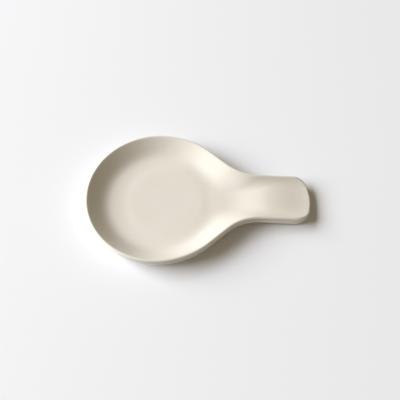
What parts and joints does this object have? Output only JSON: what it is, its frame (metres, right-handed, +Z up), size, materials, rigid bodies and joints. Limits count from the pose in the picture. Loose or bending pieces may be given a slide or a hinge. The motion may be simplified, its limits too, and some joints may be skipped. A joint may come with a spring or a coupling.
{
  "type": "spoon rest",
  "caption": "Glazed stoneware spoon rest: a round shallow well with a rounded rim that runs through a short neck into a broad, slightly troughed handle, on a foot ring.",
  "frame": {"origin": "under the middle of the dish's length and width, at the height of the table it stands on", "axes": "+X along the dish from the round bowl to the handle's end, +Y across it, +Z up from the table"},
  "size_m": [0.225, 0.144, 0.0195],
  "materials": {
    "glazed_stoneware": "satin ivory glaze"
  },
  "bodies": {
    "root": {"stoneware_dish": "glazed_stoneware"}
  },
  "joints": []
}
